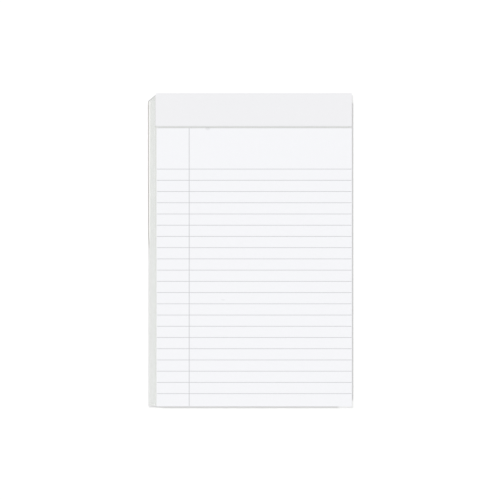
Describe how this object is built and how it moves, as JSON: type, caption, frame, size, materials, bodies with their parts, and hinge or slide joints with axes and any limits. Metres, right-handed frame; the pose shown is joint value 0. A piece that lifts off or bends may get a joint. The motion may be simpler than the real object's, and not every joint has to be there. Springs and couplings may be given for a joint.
{
  "type": "legal pad",
  "caption": "Ruled writing pad: a stack of perforated sheets on a card back, stapled through the head, with one binding strip folded over it.",
  "frame": {"origin": "middle of the whole pad, on the surface that it lies on", "axes": "+X across the sheets to the right as they are read, +Y up the sheets to the bound head, +Z out of the top sheet"},
  "size_m": [0.128, 0.2038, 0.0114],
  "materials": {
    "sheet_paper": "matte",
    "board_card": "matte",
    "strip_paper": "satin",
    "staple_wire": "satin",
    "rule_ink": "matte"
  },
  "bodies": {
    "root": {"page_block": "sheet_paper", "backing_board": "board_card", "binding_strip": "strip_paper", "staples": "staple_wire", "printed_ruling": "rule_ink"}
  },
  "joints": []
}
